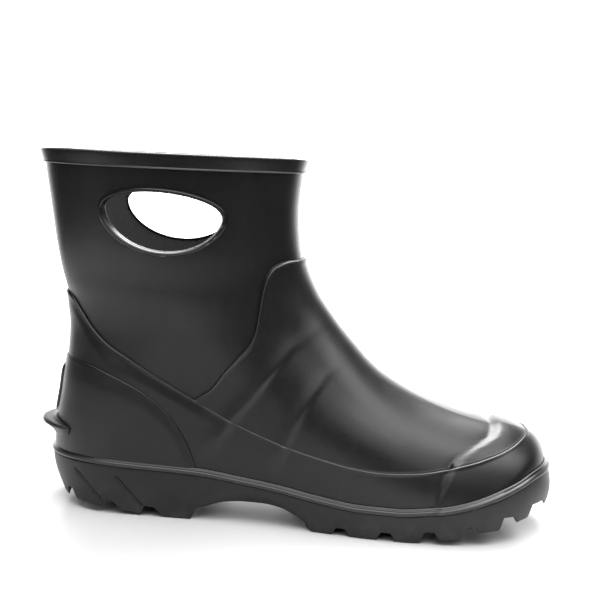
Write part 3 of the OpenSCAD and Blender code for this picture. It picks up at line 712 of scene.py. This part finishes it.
def outsole(name):
    """The lugged sole: wall, tread and the hollow that holds the fillings."""
    columns = 1000
    base, out = outline(columns)
    base_x = base[:, 0]
    heel_end = np.clip(-out[:, 0], 0, 1) ** 2 * (base_x < -60)
    toe_end = np.clip(out[:, 0], 0, 1) ** 3 * (base_x > 60)
    cap_step = over_cap(base_x, 81)
    seat = GALOSH_OUT + GAP + cap_step
    top = WELT(base_x) - SEAT_DROP
    loops = []

    def ring(t, z):
        """A ring t out from the outline at height z, or z(x) if z is a function."""
        q = base + out * np.reshape(t, (-1, 1))
        loops.append(np.column_stack([q, z(q[:, 0]) if callable(z) else z]))

    def wall(share, z):
        """How far the wall stands out, at the share of its height from the top.

        It leans in downwards, most at the heel, and bulges at the toe.
        """
        t = SOLE_MARGIN - (1.0 + 6.0 * heel_end) * share**1.9
        t = t + 2.6 * toe_end * np.sin(0.8 * np.pi * share) + cap_step * 0.9
        q = (base_x - UNDERCUT_X) / UNDERCUT_HALF
        arch = UNDERCUT_TOP * np.sqrt(np.maximum(0, 1 - q * q))
        return t - 5.5 * ease((arch - z) / 12)

    def share_down(z):
        """Share of the wall's height that z lies below its top."""
        return np.clip((top - z) / (top - TREAD(base_x)), 0, 1)

    # the tread's height along the foot of the wall, where the grooves come out
    foot = TREAD(base_x)
    for _ in range(3):
        edge = base + out * wall(np.ones(columns), foot)[:, None]
        foot = tread_height(edge[:, 0], edge[:, 1])

    # down the wall
    ring(seat, top)
    ring(wall(np.zeros(columns), top) - 0.5, top)
    rows = 36
    for k in range(rows + 1):
        z = mix(top, foot + TREAD_EDGE, k / rows)
        cut = np.zeros(columns)
        for ends in SIPES:
            d = to_line(base_x, z, np.array(ends, float))
            cut = np.maximum(cut, np.exp(-((d / SIPE_HALF) ** 2)))
        top_edge = 0.25 * math.exp(-(k / 0.7) ** 2)
        ring(wall(share_down(z), z) - SIPE_DEPTH * cut - top_edge, z)

    # round its foot and across the tread to the middle line
    foot_wall = wall(share_down(foot + TREAD_EDGE), foot + TREAD_EDGE)
    for turn in (0.35, 0.7, 1.0):
        angle = turn * math.pi / 2
        ring(foot_wall - TREAD_EDGE * (1 - math.cos(angle)), foot + TREAD_EDGE * (1 - math.sin(angle)))
    start = base + out * (foot_wall - TREAD_EDGE)[:, None]
    centre = spine(start[:, 0])
    rings = 50
    for k in range(1, rings + 1):
        q = mix(start, centre, k / rings)
        loops.append(np.column_stack([q, tread_height(q[:, 0], q[:, 1])]))

    # back out over the floor of the hollow and up its side
    inner = base + out * HOLLOW_EDGE
    for k in range(10, 0, -1):
        q = mix(inner, spine(inner[:, 0]), k / 10)
        loops.append(np.column_stack([q, HOLLOW(q[:, 0])]))
    ring(HOLLOW_EDGE, lambda x: np.minimum(HOLLOW(x), FEATHER(x) - 0.9))
    ring(HOLLOW_EDGE, lambda x: FEATHER(x) - 0.8)
    ring(seat, lambda x: FEATHER(x) - 0.8)
    return loft(name, np.array(loops).transpose(1, 0, 2), True, 38)


# ---------- materials ----------


def math_node(tree, kind, a, b):
    """The result of a math node; a and b are numbers or sockets."""
    node = tree.nodes.new("ShaderNodeMath")
    node.operation = kind
    for socket, value in zip(node.inputs, (a, b)):
        if isinstance(value, (int, float)):
            socket.default_value = value
        else:
            tree.links.new(value, socket)
    return node.outputs["Value"]


BLACK = (0.008, 0.008, 0.0085)
SOLE_BLACK = (0.011, 0.011, 0.0115)
# painted highlight: the light grey laid on sharp convex edges in place of the light they catch
EDGE_HIGHLIGHT = (0.12, 0.12, 0.122, 1)
DUST = (0.19, 0.17, 0.15, 1)
DUST_HEIGHT = 0.02  # metres


class Nodes:
    """Short names for building a material's nodes."""

    def __init__(self, name):
        self.material = bpy.data.materials.new(name)
        self.material.use_nodes = True
        self.tree = self.material.node_tree
        self.shader = self.tree.nodes["Principled BSDF"]
        coordinates = self.tree.nodes.new("ShaderNodeTexCoord")
        self.place = coordinates.outputs["Object"]

    def link(self, a, b):
        self.tree.links.new(a, b)

    def noise(self, scale, detail=4.0, rough=0.55, stretch=None):
        """Noise of that many grains a metre, stretched along the axes if asked for."""
        n = self.tree.nodes.new("ShaderNodeTexNoise")
        n.inputs["Scale"].default_value = scale
        n.inputs["Detail"].default_value = detail
        n.inputs["Roughness"].default_value = rough
        source = self.place
        if stretch:
            m = self.tree.nodes.new("ShaderNodeMapping")
            m.inputs["Scale"].default_value = stretch
            self.link(self.place, m.inputs["Vector"])
            source = m.outputs["Vector"]
        self.link(source, n.inputs["Vector"])
        return n.outputs["Fac"]

    def ramp(self, value, *stops):
        """Turns value into shades through (position, grey or colour) stops."""
        r = self.tree.nodes.new("ShaderNodeValToRGB")
        elements = r.color_ramp.elements
        while len(elements) < len(stops):
            elements.new(0.5)
        for e, (position, shade) in zip(elements, stops):
            e.position = position
            e.color = (*shade, 1) if isinstance(shade, tuple) else (shade, shade, shade, 1)
        self.link(value, r.inputs["Fac"])
        return r.outputs["Color"]

    def bump(self, height, strength, distance, below=None):
        """A normal bumped by height, over the normal below if there is one."""
        b = self.tree.nodes.new("ShaderNodeBump")
        b.inputs["Strength"].default_value = strength
        b.inputs["Distance"].default_value = distance
        self.link(height, b.inputs["Height"])
        if below is not None:
            self.link(below, b.inputs["Normal"])
        return b.outputs["Normal"]

    def blend(self, amount, colour, other):
        """The colour, blended by amount into the fixed colour other."""
        mixer = self.tree.nodes.new("ShaderNodeMix")
        mixer.data_type = "RGBA"
        self.link(amount, mixer.inputs["Factor"])
        self.link(colour, mixer.inputs["A"])
        mixer.inputs["B"].default_value = other
        return mixer.outputs["Result"]

    def painted_edge_highlight(self, colour):
        """The colour, painted lighter on sharp outer edges: a painted highlight standing in for the light
        that thin edges catch.
        """
        shape = self.tree.nodes.new("ShaderNodeNewGeometry")
        # edges with high pointiness get the painted highlight colour
        edge = self.ramp(shape.outputs["Pointiness"], (0.52, 0.0), (0.6, 1.0))
        return self.blend(edge, colour, EDGE_HIGHLIGHT)

    def set(self, name, value):
        """Sets an input of the shader to a number or colour, or links a socket to it."""
        socket = self.shader.inputs[name]
        if isinstance(value, (int, float, tuple)):
            socket.default_value = value
        else:
            self.link(value, socket)


def rubber(name, shade, rough, grain, dust=0.0, shine=0.4, edge_highlight=True):
    """Black rubber: fine moulded grain, faint scuffs, a painted highlight on sharp edges, and dust low
    down if asked.
    """
    n = Nodes(name)
    broad = n.noise(24, 3)
    scuff = n.noise(160, 5, 0.7, (1, 1, 0.35))
    fine = n.noise(1150, 2, 0.5)
    dark = tuple(c * 0.8 for c in shade)
    light = tuple(c * 1.25 for c in shade)
    colour = n.ramp(broad, (0.3, dark), (0.7, light))
    if dust:
        parts = n.tree.nodes.new("ShaderNodeSeparateXYZ")
        n.link(n.place, parts.inputs["Vector"])
        low = n.ramp(parts.outputs["Z"], (0.0, 1.0), (DUST_HEIGHT, 0.0))
        patch = n.ramp(n.noise(90, 5, 0.65), (0.45, 0.0), (0.7, 1.0))
        spread = math_node(n.tree, "MULTIPLY", low, patch)
        colour = n.blend(math_node(n.tree, "MULTIPLY", spread, dust), colour, DUST)
    # painted highlight on sharp edges, if asked for
    n.set("Base Color", n.painted_edge_highlight(colour) if edge_highlight else colour)
    n.set("Roughness", n.ramp(scuff, (0.3, rough - 0.03), (0.75, rough + 0.05)))
    n.set("Specular IOR Level", shine)
    n.set("Normal", n.bump(fine, grain, 0.00012, n.bump(broad, 0.05, 0.001)))
    return n.material


def knit(name):
    """Black knitted lining: fine vertical wales."""
    n = Nodes(name)
    wave = n.tree.nodes.new("ShaderNodeTexWave")
    wave.inputs["Scale"].default_value = 320
    wave.inputs["Distortion"].default_value = 1.5
    n.link(n.place, wave.inputs["Vector"])
    fuzz = n.noise(900, 4, 0.7)
    n.set("Base Color", n.ramp(fuzz, (0.3, (0.012, 0.012, 0.0125)), (0.75, (0.026, 0.026, 0.027))))
    n.set("Roughness", 0.9)
    n.set("Sheen Weight", 0.1)
    n.set("Normal", n.bump(wave.outputs["Fac"], 0.15, 0.0004, n.bump(fuzz, 0.2, 0.0003)))
    return n.material


def felt(name, dark, light):
    """Pressed fibres."""
    n = Nodes(name)
    fibres = n.noise(700, 6, 0.75, (1, 0.4, 1))
    n.set("Base Color", n.ramp(fibres, (0.3, dark), (0.72, light)))
    n.set("Roughness", 0.95)
    n.set("Sheen Weight", 0.2)
    n.set("Normal", n.bump(fibres, 0.5, 0.0005))
    return n.material


def sponge(name):
    """Dark sponge rubber with open cells."""
    n = Nodes(name)
    cells = n.tree.nodes.new("ShaderNodeTexVoronoi")
    cells.inputs["Scale"].default_value = 900
    n.link(n.place, cells.inputs["Vector"])
    n.set("Base Color", n.ramp(cells.outputs["Distance"], (0.0, 0.05), (0.6, 0.16)))
    n.set("Roughness", 0.9)
    n.set("Normal", n.bump(cells.outputs["Distance"], 0.5, 0.0004))
    return n.material


def steel(name):
    """Rolled steel, its grain along the boot."""
    n = Nodes(name)
    grain = n.noise(400, 3, 0.6, (0.05, 1, 1))
    n.set("Metallic", 1.0)
    n.set("Base Color", n.ramp(grain, (0.3, 0.42), (0.7, 0.6)))
    n.set("Roughness", n.ramp(grain, (0.3, 0.32), (0.7, 0.5)))
    n.set("Normal", n.bump(grain, 0.15, 0.0002))
    return n.material


def hard_plastic(name):
    """Grey plastic, slightly mottled."""
    n = Nodes(name)
    grain = n.noise(500, 3)
    n.set("Base Color", n.ramp(grain, (0.3, 0.15), (0.7, 0.24)))
    n.set("Roughness", n.ramp(grain, (0.3, 0.5), (0.7, 0.65)))
    n.set("Normal", n.bump(grain, 0.15, 0.0002))
    return n.material


body_rubber = rubber("body_rubber", BLACK, rough=0.34, grain=0.4)
shaft_rubber = rubber("shaft_rubber", BLACK, rough=0.34, grain=0.4, edge_highlight=False)
trim_rubber = rubber("trim_rubber", BLACK, rough=0.3, grain=0.08)
sole_rubber = rubber("sole_rubber", SOLE_BLACK, rough=0.42, grain=0.2, dust=0.12, shine=0.36, edge_highlight=False)
lining_knit = knit("lining_knit")
footbed_felt = felt("footbed_felt", (0.03, 0.03, 0.034), (0.1, 0.1, 0.11))
board_fibre = felt("board_fibre", (0.2, 0.13, 0.07), (0.42, 0.3, 0.18))
puff_fibre = felt("puff_fibre", (0.04, 0.04, 0.04), (0.1, 0.1, 0.1))


def finish(piece, material, body, slot, *nodes):
    """Gives a piece its material, sets its body and hides the CAD nodes it replaces; slot is not used."""
    piece.data.materials.clear()
    piece.data.materials.append(material)
    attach(piece, body)
    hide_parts(*nodes)


# ---------- the boot ----------

BOOT, INSOLE = "boot", "insole"

shaft_sheet = tube("shaft_sheet", outer=0.0, inner=-UPPER_WALL, start=0.0, columns=400, rows=118)
finish(shaft_sheet, shaft_rubber, BOOT, "black_rubber", "upper")

knit_sock = tube("knit_sock", outer=LINING_OUT, inner=LINING_IN, start=3.0, columns=300, rows=96)
finish(knit_sock, lining_knit, BOOT, "knit_lining", "lining")

ring = ring_columns(820)
galosh_sheet = sheet("galosh_sheet", ring, np.zeros(len(ring)), level(GALOSH, ring), GALOSH_OUT, GAP,
                     rows=46, wrap=True, relief=True, lip=0.5,
                     skive=lambda x: 0.5 * ease((-30 - x) / 30))
finish(galosh_sheet, body_rubber, BOOT, "black_rubber", "galosh")

vamp_sheet = arc_sheet("vamp_sheet", arc_columns(0, 112.5, 480), GALOSH, -1.0, VAMP_EDGE,
                       VAMP_OUT, GAP, rows=84, relief=True, lip=0.7)
finish(vamp_sheet, body_rubber, BOOT, "black_rubber", "vamp")

counter_sheet = arc_sheet("counter_sheet", arc_columns(180, 67.5, 300), WELT, -0.9, COUNTER,
                          COUNTER_OUT, COUNTER_IN, rows=60, skive=lambda x: 0.45)
finish(counter_sheet, body_rubber, BOOT, "black_rubber", "counter")

toe_puff = arc_sheet("toe_puff", arc_columns(0, 52.5, 160), WELT, 0.5, cap_edge,
                     CAP_LIFT - 0.1, GAP, rows=30, top_edge=1.3)
finish(toe_puff, puff_fibre, BOOT, "black_rubber", "toe_cap")

finish(rim_binding("rim_binding"), trim_rubber, BOOT, "trim_rubber", "rim_band")
finish(bead_ring("grip_bead_outer", -1), trim_rubber, BOOT, "trim_rubber", "grip_ring_lateral")
finish(bead_ring("grip_bead_inner", 1), trim_rubber, BOOT, "trim_rubber", "grip_ring_medial")
finish(welt_bead("welt_bead"), trim_rubber, BOOT, "trim_rubber", "welt_strip")
finish(heel_ledge("kick_ledge"), sole_rubber, BOOT, "sole_rubber", "heel_spur")
finish(heel_strip("heel_strip"), body_rubber, BOOT, "black_rubber", "backstay")
finish(outsole("lugged_sole"), sole_rubber, BOOT, "sole_rubber", "outsole")

loose_footbed = slab("loose_footbed", FOOTBED_EDGE, low=3.1, high=7.2, rim=1.6, cup=0.9)
finish(loose_footbed, footbed_felt, INSOLE, "footbed_felt", "footbed")
fibre_board = slab("fibre_board", BOARD_EDGE, low=0.2, high=2.4, rim=0.5)
finish(fibre_board, board_fibre, BOOT, "fibre_board", "insole_board")

# The hidden cores keep their CAD shape and get a material and softened edges.
for node, material in (("midsole", sponge("sponge_filler")), ("heel_core", hard_plastic("core_plastic")),
                       ("shank", steel("shank_steel"))):
    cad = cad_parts[node]
    cad.data.materials.clear()
    cad.data.materials.append(material)
    bevel = cad.modifiers.new("edges", "BEVEL")
    bevel.width = 0.3 * MM
    bevel.segments = 2
    bevel.limit_method = "ANGLE"

# ---------- studio ----------


def studio_floor():
    """A small white table; everything beyond it is the studio's white."""
    left, right, near, far = -0.5, 0.34, -0.32, 0.85
    points = [(left, near, 0), (right, near, 0), (right, far, 0), (left, far, 0)]
    mesh = bpy.data.meshes.new("studio_floor")
    mesh.from_pydata(points, [], [(0, 1, 2, 3)])
    floor = bpy.data.objects.new("studio_floor", mesh)
    bpy.context.scene.collection.objects.link(floor)
    n = Nodes("floor_paint")
    n.set("Base Color", (0.6, 0.6, 0.6, 1))
    n.set("Roughness", n.ramp(n.noise(30), (0.3, 0.24), (0.7, 0.26)))
    n.set("Specular IOR Level", 0.35)
    mesh.materials.append(n.material)


def area_light(name, place, target, size, power):
    """A rectangular light aimed at target."""
    data = bpy.data.lights.new(name, "AREA")
    data.shape = "RECTANGLE"
    data.size, data.size_y = size
    data.energy = power
    light = bpy.data.objects.new(name, data)
    light.location = place
    light.rotation_mode = "QUATERNION"
    light.rotation_quaternion = (Vector(target) - Vector(place)).to_track_quat("-Z", "Y")
    bpy.context.scene.collection.objects.link(light)


def studio_world():
    """White to the camera; to the boot, dim all round but for a bright low band straight behind."""
    world = bpy.data.worlds.new("studio")
    bpy.context.scene.world = world
    world.use_nodes = True
    nodes, links = world.node_tree.nodes, world.node_tree.links
    coordinates = nodes.new("ShaderNodeTexCoord")
    split = nodes.new("ShaderNodeSeparateXYZ")
    links.new(coordinates.outputs["Generated"], split.inputs["Vector"])

    def fade(value, start, end, first, last):
        """Goes smoothly from first to last while value goes from start to end."""
        ramp = nodes.new("ShaderNodeMapRange")
        ramp.interpolation_type = "SMOOTHSTEP"
        for name, number in (("From Min", start), ("From Max", end), ("To Min", first), ("To Max", last)):
            ramp.inputs[name].default_value = number
        links.new(value, ramp.inputs["Value"])
        return ramp.outputs["Result"]

    behind = fade(split.outputs["Y"], 0.6, 0.95, 0.0, 5.0)
    low = fade(split.outputs["Z"], 0.1, 0.4, 1.0, 0.0)
    band = math_node(world.node_tree, "MULTIPLY", behind, low)
    light = math_node(world.node_tree, "ADD", band, 0.06)
    rays = nodes.new("ShaderNodeLightPath")
    seen = math_node(world.node_tree, "MAXIMUM", light, rays.outputs["Is Camera Ray"])
    links.new(seen, nodes["Background"].inputs["Strength"])
    nodes["Background"].inputs["Color"].default_value = (1, 1, 1, 1)


def photo_camera():
    """The camera: azimuth and elevation round the boot, its roll, and its distance."""
    azimuth, elevation, roll = (math.radians(d) for d in (0.8, 7.5, 3.9))
    distance, aim_height = 0.7114, 0.1205
    target = Vector((PLACE[0] * MM, PLACE[1] * MM, aim_height))
    level_part = math.cos(elevation)
    back = Vector((math.sin(azimuth) * level_part, -math.cos(azimuth) * level_part,
                   math.sin(elevation)))
    right = (-back).cross(Vector((0, 0, 1))).normalized()
    up = right.cross(-back)
    turned = right * math.cos(roll) + up * math.sin(roll)
    rise = up * math.cos(roll) - right * math.sin(roll)
    data = bpy.data.cameras.new("photo")
    data.sensor_width = 36.0
    data.lens = 75.0
    camera = bpy.data.objects.new("photo", data)
    m = Matrix((turned, rise, back)).transposed().to_4x4()
    m.translation = target + back * distance
    camera.matrix_world = m
    bpy.context.scene.collection.objects.link(camera)
    bpy.context.scene.camera = camera


studio_floor()
studio_world()
area_light("top_back", (0.05, 0.95, 1.4), (0.03, 0, 0.1), (1.2, 0.9), 58)
area_light("overhead", (0.0, -0.25, 2.2), (0, -0.1, 0), (2.2, 2.4), 95)
area_light("top_right", (1.0, -0.1, 1.15), (0.0, 0, 0.12), (0.7, 0.7), 8)
area_light("front_soft", (0.25, -1.3, 1.35), (0, 0, 0.08), (2.0, 1.2), 14)
area_light("left_streak", (-0.75, -1.1, 0.42), (-0.05, 0, 0.08), (0.35, 0.25), 1.2)
photo_camera()
bpy.context.scene.view_settings.view_transform = "Standard"
